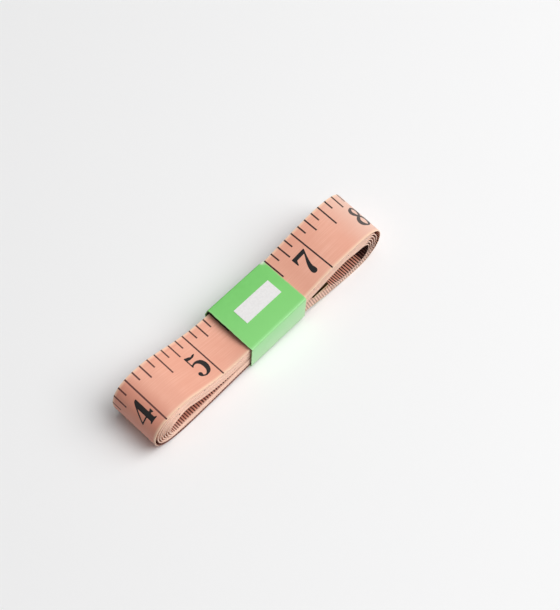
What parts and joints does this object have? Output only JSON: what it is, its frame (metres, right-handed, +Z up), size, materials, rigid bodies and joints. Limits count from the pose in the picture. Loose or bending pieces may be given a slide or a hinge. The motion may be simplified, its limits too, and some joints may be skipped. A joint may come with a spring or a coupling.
{
  "type": "cloth tape measure",
  "caption": "Coated cloth tape measure wound flat into a long coil, with crimped brass tips at both ends, held round the middle by a folded card band with a blank sticker.",
  "frame": {"origin": "centre of the bounding box at the table it lies on", "axes": "+X along the winding towards the taller open end, +Z up, Y across the tape's width"},
  "size_m": [0.1038, 0.02, 0.0174],
  "materials": {
    "coated_cloth": "salmon vinyl-coated cloth, satin, printed with black inch marks",
    "brass": "stamped brass, lightly dulled",
    "green_card": "smooth coated card, pale along its folds",
    "white_paper": "white sticker paper"
  },
  "bodies": {
    "winding": {"tape_ribbon": "coated_cloth", "outer_end_tip": "brass", "inner_end_tip": "brass"},
    "wrap": {"paper_band": "green_card", "band_label": "white_paper"}
  },
  "joints": [
    {"name": "band_slide", "type": "slide", "parent": "winding", "child": "wrap", "axis": [-1, 0, 0], "range_m": [0, 0.072], "deforming": ["tape_ribbon"]}
  ]
}
